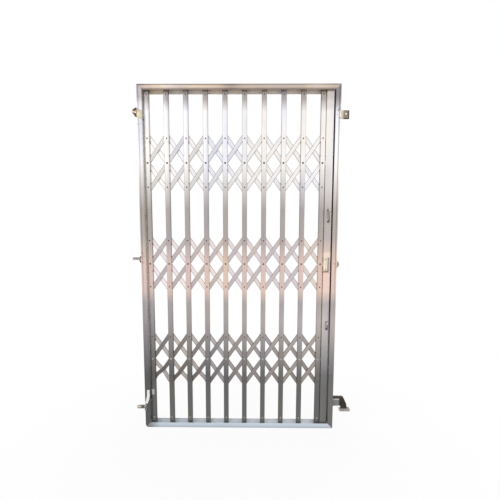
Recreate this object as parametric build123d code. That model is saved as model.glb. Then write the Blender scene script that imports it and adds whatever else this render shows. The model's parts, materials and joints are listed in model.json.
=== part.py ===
from build123d import *
import math
import os

# Driving dimensions of the gate, in millimetres.
# Origin: middle of the bottom track's underside. X right, front faces -Y, Z up.
WIDTH = 1219.0
HEIGHT = 2134.0
CHANNEL_DEPTH = 60.0
FLANGE = 32.0
GAUGE = 2.0
CORNER_R = 4.0
BENT_CORNER_R = 20.0

# Pickets: two small channels back to back, open sides facing each other.
PICKETS = 10
FIRST_PICKET_X = -558.5
PITCH = 118.75
PICKET_WIDTH = 30.0
PICKET_FRONT = 12.0
PICKET_LEG = 8.0
PICKET_GAUGE = 1.5
PICKET_BEND_R = 2.0
PICKET_BOTTOM = 8.0
PICKET_TOP = 2124.0

# Lattice flats: three bands, each bar spans two bays between three rows of pins.
BAND_CENTRES = (454.0, 1068.0, 1684.0)
ROW_SPACING = 167.0
FLAT_WIDTH = 26.0
FLAT_THICKNESS = 3.0
FLAT_END = 8.0
FLAT_CORNER = 6.0
FLAT_MIDDLE_Y = 1.9
PIN_R = 3.0
PIN_SIDES = 8
PIN_CLEARANCE = 0.1

# Rollers and guide shoes that keep the pickets in the two tracks.
ROLLER_R = 12.0
ROLLER_SIDES = 16
ROLLER_WIDTH = 6.0
ROLLER_LIFT = 0.4
SHOE_LENGTH = 23.0
SHOE_HEIGHT = 5.0
SHOE_SIDE_GAP = 0.5

# Lock stile, its lock plate and the two pulls.
STILE_LEFT = 528.0
STILE_RIGHT = 573.0
STILE_FRONT = 18.5
SPACER_HEIGHT = 30.0
SPACER_DEPTH = 8.0
LOCK_X = 543.5
LOCK_Z = 1067.0
LOCK_WIDTH = 30.0
LOCK_HEIGHT = 90.0
LOCK_THICKNESS = 6.0
KEYHOLE_R = 3.5
PULL_ROD_R = 4.0
PULL_SIDES = 8
PULL_ROSE_R = 8.0
PULL_ROSE_SIDES = 12
PULL_ROSE_THICKNESS = 3.0
UPPER_PULL = (552.5, 1367.0, 72.0, 26.0)
LOWER_PULL = (558.0, 678.0, 44.0, 20.0)

# Screw holes in the bottom track and distance bars behind the first picket.
SILL_SCREWS_X = (-468.0, -143.0, 86.0, 332.0)
SILL_SCREW_R = 4.0
DISTANCE_BARS_Z = (180.0, 763.0, 1375.0, 1950.0)
DISTANCE_BAR = 16.0

# Hold-fasts: the lugs that are built into the wall.
STRAP = 6.0
WELD_STRAP = 3.0
HOLD_FAST_HOLE_R = 5.5

HALF_WIDTH = WIDTH / 2
HALF_DEPTH = CHANNEL_DEPTH / 2
WEB_INNER_Y = PICKET_FRONT - PICKET_GAUGE
PIN_HOLE_R = (PIN_R + PIN_CLEARANCE) / math.cos(math.pi / PIN_SIDES)
HALF_FLAT = math.hypot(PITCH, ROW_SPACING)
LEAN = math.degrees(math.atan2(PITCH, ROW_SPACING))


def picket_x(number):
    return FIRST_PICKET_X + PITCH * (number - 1)


def front_prism(outline, near_y, far_y):
    # An outline drawn as (x, z) points, made into a solid between two depths.
    face = make_face(Polyline(*[(x, 0, z) for x, z in outline], close=True))
    slab = extrude(face, amount=far_y - near_y, dir=(0, 1, 0))
    return slab.moved(Location((0, near_y, 0)))


def along_y(radius, x, z, near_y, far_y):
    rod = Cylinder(radius, far_y - near_y, rotation=(90, 0, 0))
    return rod.moved(Location((x, (near_y + far_y) / 2, z)))


def faceted_along_y(radius, sides, x, z, near_y, far_y):
    # A round bar or hole drawn with few flats; its corners lie on the radius.
    outline = Plane.XZ * RegularPolygon(radius, sides)
    return extrude(outline, amount=far_y - near_y).moved(Location((x, far_y, z)))


def block(x0, x1, y0, y1, z0, z1):
    middle = Location(((x0 + x1) / 2, (y0 + y1) / 2, (z0 + z1) / 2))
    return Box(x1 - x0, y1 - y0, z1 - z0).moved(middle)


# Frame

def frame_slab(inset, corner_r, bent_r, thickness):
    # An upright slab whose lower left corner is bent rather than mitred sharp.
    outline = Rectangle(WIDTH - 2 * inset, HEIGHT - 2 * inset)
    corners = outline.vertices().sort_by(lambda v: v.X + v.Y)
    bent, sharp = corners[:1], corners[1:]
    outline = fillet(bent, bent_r)
    if corner_r > 0:
        kept = [v for v in outline.vertices() if any((v.center() - c.center()).length < 1 for c in sharp)]
        outline = fillet(kept, corner_r)
    return extrude(Plane.XZ * outline, amount=thickness / 2, both=True)


def frame_ring():
    # The whole channel frame before it is parted at the mitres.
    outer = frame_slab(0, CORNER_R, BENT_CORNER_R, CHANNEL_DEPTH)
    hollow = frame_slab(GAUGE, 0, BENT_CORNER_R - GAUGE, CHANNEL_DEPTH - 2 * GAUGE)
    sight = Box(WIDTH - 2 * FLANGE, 2 * CHANNEL_DEPTH, HEIGHT - 2 * FLANGE)
    return (outer - hollow - sight).moved(Location((0, 0, HEIGHT / 2)))


def mitred(corner_a, corner_b, inner_b, inner_a):
    return front_prism((corner_a, corner_b, inner_b, inner_a), -CHANNEL_DEPTH, CHANNEL_DEPTH)


def track(ring, outer_z, inner_z):
    cutter = mitred(
        (-HALF_WIDTH, outer_z), (HALF_WIDTH, outer_z),
        (HALF_WIDTH - FLANGE, inner_z), (-HALF_WIDTH + FLANGE, inner_z),
    )
    return ring & cutter


def jamb(ring, side):
    cutter = mitred(
        (side * HALF_WIDTH, 0), (side * HALF_WIDTH, HEIGHT),
        (side * (HALF_WIDTH - FLANGE), HEIGHT - FLANGE), (side * (HALF_WIDTH - FLANGE), FLANGE),
    )
    return ring & cutter


def bottom_track(ring):
    solid = track(ring, 0, FLANGE)
    for x in SILL_SCREWS_X:
        solid -= Cylinder(SILL_SCREW_R, 4 * GAUGE).moved(Location((x, 0, GAUGE / 2)))
    return solid


def left_jamb(ring):
    # The first picket stands off the jamb on short distance bars.
    solid = jamb(ring, -1)
    near = -HALF_WIDTH + GAUGE
    far = picket_x(1) - PICKET_WIDTH / 2
    half = DISTANCE_BAR / 2
    for z in DISTANCE_BARS_Z:
        solid += block(near, far, -PICKET_FRONT, -PICKET_FRONT + PICKET_LEG, z - half, z + half)
        solid += block(near, far, PICKET_FRONT - PICKET_LEG, PICKET_FRONT, z - half, z + half)
    return solid


# Pickets, pins and rollers

def picket_channel():
    # One rolled channel, its web to the front.
    blank = Rectangle(PICKET_WIDTH, PICKET_LEG)
    blank = chamfer(blank.vertices().group_by(Axis.Y)[0], PICKET_BEND_R / 2)
    inside = Rectangle(PICKET_WIDTH - 2 * PICKET_GAUGE, PICKET_LEG).moved(Location((0, PICKET_GAUGE)))
    length = PICKET_TOP - PICKET_BOTTOM
    return extrude(blank - inside, length).moved(
        Location((0, -PICKET_FRONT + PICKET_LEG / 2, PICKET_BOTTOM)))


def picket(number):
    front = picket_channel()
    back = front.rotate(Axis.Z, 180)
    place = Location((picket_x(number), 0, 0))
    return Compound([front.moved(place), back.moved(place)])


def guide_shoe(x0, x1):
    reach = HALF_DEPTH - GAUGE - SHOE_SIDE_GAP
    return block(x0, x1, -reach, reach, PICKET_TOP, PICKET_TOP + SHOE_HEIGHT)


def roller(x):
    centre_z = GAUGE + ROLLER_LIFT + ROLLER_R
    half = ROLLER_WIDTH / 2
    wheel = faceted_along_y(ROLLER_R, ROLLER_SIDES, x, centre_z, -half, half)
    return wheel + pin(x, centre_z)


def pin(x, z):
    return faceted_along_y(PIN_R, PIN_SIDES, x, z, -WEB_INNER_Y, WEB_INNER_Y)


def fittings(number):
    # Roller, guide shoe and the pins that carry the lattice; the last picket's set has the stile's shoe.
    x = picket_x(number)
    pieces = [roller(x), guide_shoe(x - SHOE_LENGTH / 2, x + SHOE_LENGTH / 2)]
    for centre in BAND_CENTRES:
        for row in (-1, 0, 1):
            pieces.append(pin(x, centre + row * ROW_SPACING))
    if number == PICKETS:
        pieces.append(guide_shoe(STILE_LEFT + SHOE_LENGTH / 2, STILE_RIGHT - SHOE_LENGTH / 2))
    return Compound(pieces)


# Lattice

def flat_bar(start, end):
    # A flat from start to end along its own length, drilled for its pins.
    low = min(start, 0.0) - FLAT_END
    high = end + FLAT_END
    bar = block(-FLAT_WIDTH / 2, FLAT_WIDTH / 2, -FLAT_THICKNESS / 2, FLAT_THICKNESS / 2, low, high)
    bar = chamfer(bar.edges().filter_by(Axis.Y), FLAT_CORNER)
    for place in sorted({start, 0.0, end}):
        bar -= faceted_along_y(PIN_HOLE_R, PIN_SIDES, 0, place, -FLAT_THICKNESS, FLAT_THICKNESS)
    return bar


def leaning_flat(number, centre, side):
    # side 1 leans to the right in the front plane, side -1 to the left in the back plane.
    start, end = -HALF_FLAT, HALF_FLAT
    first, last = number == 1, number == PICKETS
    if (first and side == 1) or (last and side == -1):
        start = 0.0
    if (first and side == -1) or (last and side == 1):
        end = 0.0
    bar = flat_bar(start, end).rotate(Axis.Y, side * LEAN)
    return bar.moved(Location((picket_x(number), -side * FLAT_MIDDLE_Y, centre)))


def lattice(number):
    bars = [leaning_flat(number, centre, side) for centre in BAND_CENTRES for side in (1, -1)]
    return Compound(bars)


# Lock stile

def lock_stile():
    width = STILE_RIGHT - STILE_LEFT
    outside = RectangleRounded(width, 2 * STILE_FRONT, PICKET_BEND_R)
    inside = Rectangle(width - 2 * PICKET_GAUGE, 2 * (STILE_FRONT - PICKET_GAUGE))
    tube = extrude(outside - inside, PICKET_TOP - PICKET_BOTTOM)
    solid = tube.moved(Location(((STILE_LEFT + STILE_RIGHT) / 2, 0, PICKET_BOTTOM)))
    picket_edge = picket_x(PICKETS) + PICKET_WIDTH / 2
    for centre in BAND_CENTRES:
        z0 = centre - SPACER_HEIGHT / 2
        for y0 in (-PICKET_FRONT + PICKET_BEND_R, PICKET_FRONT - PICKET_BEND_R - SPACER_DEPTH / 2):
            solid += block(picket_edge, STILE_LEFT, y0, y0 + SPACER_DEPTH / 2, z0, z0 + SPACER_HEIGHT)
    return solid


def lock_case():
    plate = Plane.XZ * RectangleRounded(LOCK_WIDTH, LOCK_HEIGHT, 3)
    key = Plane.XZ * (Circle(KEYHOLE_R) + Rectangle(KEYHOLE_R, 14).moved(Location((0, -7))))
    case = extrude(plate - key, LOCK_THICKNESS)
    case = chamfer(case.faces().sort_by(Axis.Y)[0].outer_wire().edges(), 1.0)
    return case.moved(Location((LOCK_X, -STILE_FRONT, LOCK_Z)))


def pull(x, z, grip, reach):
    # A bow of round rod on two roses.
    half = grip / 2
    base = -STILE_FRONT
    path = FilletPolyline(
        (x, base, z - half), (x, base - reach, z - half),
        (x, base - reach, z + half), (x, base, z + half), radius=reach * 0.5)
    start = Plane(origin=path @ 0, z_dir=path % 0)
    bow = sweep(start * RegularPolygon(PULL_ROD_R, PULL_SIDES), path=path)
    for end in (-half, half):
        bow += faceted_along_y(PULL_ROSE_R, PULL_ROSE_SIDES, x, z + end, base - PULL_ROSE_THICKNESS, base)
    return bow


# Hold-fasts

def hole(x, z):
    return along_y(HOLD_FAST_HOLE_R, x, z, -HALF_DEPTH, HALF_DEPTH)


def plate(points, near_y=-STRAP / 2, far_y=STRAP / 2, side=-1):
    # A plate whose outline is given as (distance outward from the jamb, height).
    outline = [(side * (HALF_WIDTH + out), z) for out, z in points]
    return front_prism(outline, near_y, far_y)


def wrap(z0, z1):
    # The side of a strap that goes round the left jamb's front corner to its lug.
    return block(-HALF_WIDTH - WELD_STRAP, -HALF_WIDTH, -HALF_DEPTH - WELD_STRAP, STRAP / 2, z0, z1)


def face_strap(points):
    # A thin strap flat on the front of the left jamb's flange.
    return plate(points, -HALF_DEPTH - WELD_STRAP, -HALF_DEPTH)


def left_upper_hold_fast():
    lug = plate((
        (0, 2014), (16, 2013), (29, 2005), (39, 1998), (39, 1981), (28, 1973), (24, 1962), (12, 1958), (0, 1950),
    ))
    strap = face_strap(((0, 1998), (-32, 1981), (-32, 1932), (0, 1950)))
    return lug + wrap(1950, 1998) + strap - hole(-HALF_WIDTH - 20, 1985)


def left_middle_hold_fast():
    disc = along_y(28.0, -HALF_WIDTH + 6, 1095, -STRAP / 2, STRAP / 2)
    lug = disc & block(-HALF_WIDTH - 60, -HALF_WIDTH, -STRAP, STRAP, 1035, 1155)
    bar = block(-HALF_WIDTH - 60, -HALF_WIDTH, -14, 14, 1092.5, 1108.5)
    return lug + fillet(bar.edges().filter_by(Axis.Z).group_by(Axis.X)[0], 8)


def left_lower_hold_fast():
    bar = block(-HALF_WIDTH - 52, -HALF_WIDTH, -STRAP / 2, STRAP / 2, 113, 137)
    lug = bar + along_y(12.0, -HALF_WIDTH - 52, 125, -STRAP / 2, STRAP / 2)
    foot = face_strap(((0, 137), (-12, 137), (-12, 113), (0, 113)))
    curved = face_strap((
        (-14, 252), (-31, 252), (-31, 214), (-28, 190), (-20, 170), (-10, 150), (0, 136),
        (0, 160), (-8, 188), (-14, 215),
    ))
    return lug + wrap(113, 137) + foot + curved - hole(-HALF_WIDTH - 52, 125)


def right_upper_hold_fast():
    lug = block(HALF_WIDTH, HALF_WIDTH + 57, -STRAP / 2, STRAP / 2, 1945, 1995)
    lug = fillet(lug.edges().filter_by(Axis.Y), 3)
    return lug - hole(HALF_WIDTH + 38, 1975)


def right_middle_hold_fast():
    disc = along_y(24.0, HALF_WIDTH - 2, 1068, -STRAP / 2, STRAP / 2)
    return disc & block(HALF_WIDTH, HALF_WIDTH + 60, -STRAP, STRAP, 1008, 1128)


def right_lower_hold_fast():
    # A flat arm that bends down and outward to a foot.
    points = (
        (0, 203), (71, 203), (92, 159), (96, 126), (115, 125), (115, 108), (50, 108), (50, 125), (61, 126),
        (50, 148), (0, 145),
    )
    return plate(points, -15, 15, side=1)


def build():
    ring = frame_ring()
    nodes = {
        "top_track": track(ring, HEIGHT, HEIGHT - FLANGE),
        "bottom_track": bottom_track(ring),
        "left_jamb": left_jamb(ring),
        "right_jamb": jamb(ring, 1),
        "left_hold_fast_upper": left_upper_hold_fast(),
        "left_hold_fast_middle": left_middle_hold_fast(),
        "left_hold_fast_lower": left_lower_hold_fast(),
        "right_hold_fast_upper": right_upper_hold_fast(),
        "right_hold_fast_middle": right_middle_hold_fast(),
        "right_hold_fast_lower": right_lower_hold_fast(),
        "lock_stile": lock_stile(),
        "lock_case": lock_case(),
        "upper_pull": pull(*UPPER_PULL),
        "lower_pull": pull(*LOWER_PULL),
    }
    for number in range(1, PICKETS + 1):
        nodes[f"picket_{number:02d}"] = picket(number)
        nodes[f"fittings_{number:02d}"] = fittings(number)
        nodes[f"lattice_{number:02d}"] = lattice(number)
    return nodes


os.makedirs("parts", exist_ok=True)
for name, shape in build().items():
    export_step(shape, f"parts/{name}.step")
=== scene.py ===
import json
import math

import bpy
from mathutils import Matrix, Vector


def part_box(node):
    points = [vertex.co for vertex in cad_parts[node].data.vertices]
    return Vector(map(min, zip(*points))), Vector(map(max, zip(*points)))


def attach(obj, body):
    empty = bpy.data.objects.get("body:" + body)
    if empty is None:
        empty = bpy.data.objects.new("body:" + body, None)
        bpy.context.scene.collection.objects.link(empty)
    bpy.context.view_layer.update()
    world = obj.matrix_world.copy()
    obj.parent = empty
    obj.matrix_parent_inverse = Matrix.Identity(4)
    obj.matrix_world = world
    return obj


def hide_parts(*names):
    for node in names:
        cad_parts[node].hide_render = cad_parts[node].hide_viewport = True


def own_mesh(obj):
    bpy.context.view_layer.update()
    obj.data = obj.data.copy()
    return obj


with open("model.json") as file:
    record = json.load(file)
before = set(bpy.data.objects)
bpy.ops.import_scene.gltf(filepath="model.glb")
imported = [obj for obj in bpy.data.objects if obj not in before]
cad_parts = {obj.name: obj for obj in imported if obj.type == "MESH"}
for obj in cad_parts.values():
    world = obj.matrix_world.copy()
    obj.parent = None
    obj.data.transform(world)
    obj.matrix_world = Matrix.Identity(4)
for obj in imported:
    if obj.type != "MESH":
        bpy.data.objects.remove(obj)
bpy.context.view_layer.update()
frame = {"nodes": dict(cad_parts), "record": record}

bl_info = {
    "name": "Collapsible gate",
    "version": (1, 0, 0),
    "blender": (4, 5, 0),
    "location": "3D View > Sidebar > Gate",
    "description": "Models and finishes a collapsible steel gate over its packed frame",
    "category": "Object",
}

PICKETS = 10
BODIES = frame["record"]["behaviour"]["bodies"]


def middle_of(node):
    low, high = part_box(node)
    return (low.x + high.x) / 2


def picket_middle(number):
    return middle_of(f"picket_{number:02d}")


FIRST_X = picket_middle(1)
PITCH = picket_middle(2) - FIRST_X
GATE_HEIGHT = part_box("top_track")[1].z
BANDS = (0.454, 1.068, 1.684)
PIN_ROWS = 0.167
STUB_ROWS = 0.145
LEAN = math.atan2(PITCH, PIN_ROWS)
HALF_FLAT = math.hypot(PITCH, PIN_ROWS)
BAND_STEP = (BANDS[2] - BANDS[0]) / 2


def shade(red, green, blue):
    """A display colour, 0 to 255, as the linear colour that Blender keeps."""
    parts = []
    for value in (red, green, blue):
        value /= 255
        parts.append(value / 12.92 if value <= 0.04045 else ((value + 0.055) / 1.055) ** 2.4)
    return tuple(parts)


def length(name, description, default):
    return bpy.props.FloatProperty(
        name=name, description=description, default=default, min=0.0, unit="LENGTH")


def colour(name, description, default):
    return bpy.props.FloatVectorProperty(
        name=name, description=description, default=shade(*default),
        size=3, min=0.0, max=1.0, subtype="COLOR")


class GateSizes(bpy.types.PropertyGroup):
    picket_bend: length("Picket bend", "Outside radius of the picket channels' bends", 0.0022)
    picket_gauge: length("Picket gauge", "Sheet thickness of the picket channels", 0.0015)
    picket_leg: length("Picket leg", "Depth of one picket channel", 0.008)
    frame_bend: length("Frame bend", "Outside radius of the frame channels' bends", 0.0028)
    arris: length("Arris", "Radius that takes the sharpness off a sheared edge", 0.0005)
    flat_width: length("Flat width", "Width of a lattice flat", 0.026)
    flat_thickness: length("Flat thickness", "Thickness of a lattice flat", 0.003)
    flat_rim: length("Flat rim", "Width of a lattice flat's darker border", 0.0026)
    flat_plane: length("Flat plane", "Distance of each layer of flats from the gate's middle plane", 0.0019)
    rivet_shank: length("Rivet shank", "Radius of a rivet's shank", 0.003)
    rivet_head: length("Rivet head", "Radius of the heads in the outer rows", 0.0046)
    middle_head: length("Middle rivet head", "Radius of the heads in each band's middle row", 0.0062)
    roller_radius: length("Roller radius", "Radius of the rollers in the bottom track", 0.012)
    roller_half: length("Roller half width", "Half the width of a roller", 0.003)
    stile_width: length("Stile width", "Width of the lock stile's tube", 0.045)
    pull_rod: length("Pull rod", "Radius of the pulls' round rod", 0.004)


class GateColours(bpy.types.PropertyGroup):
    # Dusk, Glow and Pale are painted reflections and Grey the plain steel between them, laid along the
    # steel's height.
    dusk: colour("Dusk", "Steel near the foot", (110, 110, 108))
    grey: colour("Grey", "Plain steel", (180, 174, 170))
    glow: colour("Glow", "Warm steel below the middle band", (230, 205, 190))
    pale: colour("Pale", "Bright steel in the upper quarter", (250, 250, 250))
    cool: colour("Cool drift", "Tint of the bluer stretches of steel", (245, 245, 255))
    warm: colour("Warm drift", "Tint of the warmer stretches of steel", (255, 250, 245))
    # Pocket is painted light inside the left jamb, and Gloom painted shade inside the right jamb beside the
    # lock stile.
    pocket: colour("Pocket", "Inside of the left jamb", (240, 240, 235))
    gloom: colour("Gloom", "Inside of the right jamb beside the lock stile", (85, 70, 75))
    rivet: colour("Rivet", "Rivets and pins", (120, 110, 105))
    # Painted highlight on rivets, rollers and shoes low down, and along a hold-fast's arm.
    painted_highlight: colour("Rubbed", "Rivets, rollers and shoes that are rubbed bright", (200, 200, 200))
    # Crest is painted light on the pulls' upper sides, and Root painted shade on their undersides and
    # roots.
    crest: colour("Crest", "Outer side of the pulls", (245, 240, 230))
    root: colour("Root", "Undersides and roots of the pulls", (115, 105, 95))
    # Rail is a painted warm reflection, Rail lip painted shade on the lower edge, and Rail inside painted
    # light inside the top track.
    rail: colour("Rail", "Upper part of the top track's face", (210, 195, 180))
    rail_lip: colour("Rail lip", "Lower edge of the top track's face", (145, 130, 120))
    rail_inside: colour("Rail inside", "Inside of the top track", (230, 220, 205))
    # Sill is a painted cool reflection on the bottom track's face, and Sill inside painted light inside the
    # track.
    sill: colour("Sill", "Face of the bottom track", (195, 205, 215))
    sill_end: colour("Sill end", "Left end of the bottom track", (130, 135, 140))
    sill_inside: colour("Sill inside", "Inside of the bottom track", (240, 245, 250))
    # Brown staining around the hold-fasts, also used as painted shadow under them on the jambs.
    stain_and_shadow: colour("Stain", "Brown staining around the hold-fasts", (125, 95, 70))
    bronze: colour("Bronze", "Left upper hold-fast", (85, 70, 55))
    umber: colour("Umber", "Left lower hold-fast", (115, 110, 100))
    tan: colour("Tan", "Strap over the jamb's face", (215, 200, 175))
    cream: colour("Cream", "Right upper hold-fast and pale straps", (230, 220, 190))
    brass: colour("Brass", "Lock plate", (240, 230, 210))
    chalk: colour("Chalk", "Bare strap over the left jamb's foot", (245, 245, 240))
    taupe: colour("Taupe", "Outer half of the right upper hold-fast", (150, 135, 120))
    # Painted shade on the hold-fasts' edges and undersides.
    painted_shade: colour("Soot", "Dark edges, keyhole and gaps", (50, 45, 40))
    iron: colour("Iron", "Dull dark hold-fasts", (130, 130, 130))
    hold_fast: colour("Hold-fast", "Plain grey hold-fasts", (170, 165, 160))


# Modelling

SMOOTH_ANGLE = math.radians(32)
TOUCH = 0.00001


def clear_selection():
    if bpy.context.mode != "OBJECT":
        bpy.ops.object.mode_set(mode="OBJECT")
    for obj in bpy.context.selected_objects:
        obj.select_set(False)


def activate(obj):
    clear_selection()
    obj.select_set(True)
    bpy.context.view_layer.objects.active = obj


def select(obj, kind, test):
    """Edit mode, with the edges or faces that pass the test selected."""
    activate(obj)
    bpy.ops.object.mode_set(mode="EDIT")
    bpy.ops.mesh.select_mode(type=kind)
    bpy.ops.mesh.select_all(action="DESELECT")
    bpy.ops.object.mode_set(mode="OBJECT")
    mesh = obj.data
    if kind == "FACE":
        for face in mesh.polygons:
            face.select = bool(test(face.center, face.normal))
    else:
        points = [vertex.co for vertex in mesh.vertices]
        for edge in mesh.edges:
            edge.select = bool(test(points[edge.vertices[0]], points[edge.vertices[1]]))
    bpy.ops.object.mode_set(mode="EDIT")


def leave_edit():
    bpy.ops.object.mode_set(mode="OBJECT")


def added(name):
    """The primitive that was just added, under its name, with its place in its mesh."""
    obj = bpy.context.active_object
    obj.name = name
    activate(obj)
    bpy.ops.object.transform_apply(location=True, rotation=True, scale=True)
    return obj


def block(name, low, high):
    low, high = Vector(low), Vector(high)
    clear_selection()
    bpy.ops.mesh.primitive_cube_add(size=1, location=(low + high) / 2, scale=high - low)
    return added(name)


def rod_along_y(name, radius, near, far, x=0.0, z=0.0, sides=24):
    clear_selection()
    bpy.ops.mesh.primitive_cylinder_add(
        vertices=sides, radius=radius, depth=far - near, location=(x, (near + far) / 2, z),
        rotation=(math.pi / 2, 0, 0))
    return added(name)


def soften(obj, radius, steps, test):
    select(obj, "EDGE", test)
    bpy.ops.mesh.bevel(offset=radius, segments=steps, affect="EDGES", clamp_overlap=True)
    leave_edit()


def remove_faces(obj, test):
    select(obj, "FACE", test)
    bpy.ops.mesh.delete(type="FACE")
    leave_edit()


def modified(obj, kind, **settings):
    """A modifier is added, set and applied."""
    activate(obj)
    bpy.ops.object.modifier_add(type=kind)
    modifier = obj.modifiers[-1]
    for name, value in settings.items():
        setattr(modifier, name, value)
    bpy.ops.object.modifier_apply(modifier=modifier.name)


def thicken(obj, gauge):
    modified(obj, "SOLIDIFY", thickness=gauge, offset=-1, use_even_offset=True)


def break_edges(obj, radius, steps=2, angle=40):
    modified(
        obj, "BEVEL", width=radius, segments=steps, limit_method="ANGLE", angle_limit=math.radians(angle))


def copy_of(obj, name, shift=(0, 0, 0)):
    twin = bpy.data.objects.new(name, obj.data.copy())
    bpy.context.scene.collection.objects.link(twin)
    twin.data.transform(Matrix.Translation(shift))
    return twin


def joined(name, parts):
    clear_selection()
    for part in parts:
        part.select_set(True)
    bpy.context.view_layer.objects.active = parts[0]
    bpy.ops.object.join()
    obj = bpy.context.active_object
    obj.name = name
    return obj


def discard(*objects):
    for obj in objects:
        bpy.data.objects.remove(obj)


def body_of(node):
    for body, members in BODIES.items():
        if node in members:
            return body
    raise RuntimeError(f"no body holds {node}")


def coat(obj, material):
    obj.data.materials.clear()
    obj.data.materials.append(material)


def fit_piece(obj, material, body, slot, *nodes):
    """A finished piece rides on its body and stands for its CAD nodes."""
    if material is not None:
        coat(obj, material)
    activate(obj)
    bpy.ops.object.shade_smooth_by_angle(angle=SMOOTH_ANGLE)
    obj.data.name = obj.name
    clear_selection()
    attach(obj, body)
    if nodes:
        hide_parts(*nodes)


def copy_of_node(node, name):
    """A CAD node's shape as one clean mesh: doubles merged, flat areas made single faces."""
    obj = bpy.data.objects.new(name, frame["nodes"][node].data.copy())
    bpy.context.scene.collection.objects.link(obj)
    activate(obj)
    bpy.ops.object.mode_set(mode="EDIT")
    bpy.ops.mesh.select_all(action="SELECT")
    bpy.ops.mesh.remove_doubles(threshold=0.000002)
    bpy.ops.mesh.dissolve_limited(angle_limit=math.radians(0.6))
    leave_edit()
    return obj


def weld_run(name, start, end, width):
    """A bead of overlapping scallops, flattened against the jamb it runs up."""
    start, end = Vector(start), Vector(end)
    clear_selection()
    bpy.ops.mesh.primitive_uv_sphere_add(
        segments=10, ring_count=6, radius=width / 2, scale=(0.55, 1.0, 1.0))
    scallop = added("scallop")
    steps = max(2, round((end - start).length / (width * 0.42)))
    beads = [
        copy_of(scallop, f"{name}_{index}", start.lerp(end, index / steps)) for index in range(steps + 1)]
    discard(scallop)
    return joined(name, beads)


# Finishes

METAL = 0.9
# Between these distances from the middle plane a frame channel's flange turns from outside to inside.
OUTER_SIDE, INNER_SIDE = 0.0294, 0.0286
# How fine the brushed grain is along each axis.
UP_GRAIN = (620.0, 620.0, 9.0)
FLAT_GRAIN = (620.0, 620.0, 12.0)
SIDE_GRAIN = (9.0, 620.0, 620.0)
# Soft marks of painted light and shade, a highlight at the left foot, the upper pull's shadow, light beside
# that pull and shade beside the lock plate: middle, reach and end of the fade along X, the same along Z,
# and strength.
FOOT_GLEAM = (-0.5625, 0.007, 0.011, 0.2315, 0.012, 0.024, 2.4)
PULL_SHADOW = (0.5555, 0.0020, 0.0050, 1.378, 0.012, 0.026, 0.36)
PULL_LIGHT = (0.5445, 0.0030, 0.0060, 1.341, 0.012, 0.020, 0.22)
PLATE_SHADE = (0.5615, 0.0035, 0.0065, 1.062, 0.042, 0.052, 0.42)
# Where painted shade marks the flats' edges at a picket's sides, above and below each crossing.
CROSSING_SHADE_MIDDLE, CROSSING_SHADE_SPREAD = 0.0836, 0.0401
# A jamb's change of brightness near its foot, above its middle and at its head: painted light and shade.
LEFT_GAINS, RIGHT_GAINS = (-0.20, -0.20, 0.30), (0.15, 0.10, -0.35)
# How dark the painted shade of each jamb's rolled line is.
LEFT_CREASE_SHADE, RIGHT_CREASE_SHADE = 0.32, 0.44
# Height, reach and end of the fade of each patch of brown staining, which also paints the shadow under a
# hold-fast.
LEFT_STAINS_AND_SHADOWS = ((1.920, 0.012, 0.034), (1.104, 0.024, 0.044), (0.150, 0.015, 0.085))
RIGHT_STAINS_AND_SHADOWS = ((1.970, 0.015, 0.085), (1.068, 0.015, 0.055))
# Stops of the heat-stained ramp, as display colours.
HEAT_TINTS = (
    (0.30, (90, 90, 85)), (0.48, (150, 130, 100)), (0.60, (100, 90, 105)), (0.75, (125, 120, 120)))


class Knob:
    """A node's output that can be used in sums."""

    def __init__(self, finish, socket):
        self.finish = finish
        self.socket = socket

    def sum(self, operation, first, second=None):
        values = {0: first} if second is None else {0: first, 1: second}
        return self.finish.node("ShaderNodeMath", {"operation": operation}, values)

    def __add__(self, other):
        return self.sum("ADD", self, other)

    __radd__ = __add__

    def __sub__(self, other):
        return self.sum("SUBTRACT", self, other)

    def __rsub__(self, other):
        return self.sum("SUBTRACT", other, self)

    def __mul__(self, other):
        return self.sum("MULTIPLY", self, other)

    __rmul__ = __mul__

    def __truediv__(self, other):
        return self.sum("DIVIDE", self, other)

    def __mod__(self, other):
        return self.sum("FLOORED_MODULO", self, other)

    def __abs__(self):
        return self.sum("ABSOLUTE", self)


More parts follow.
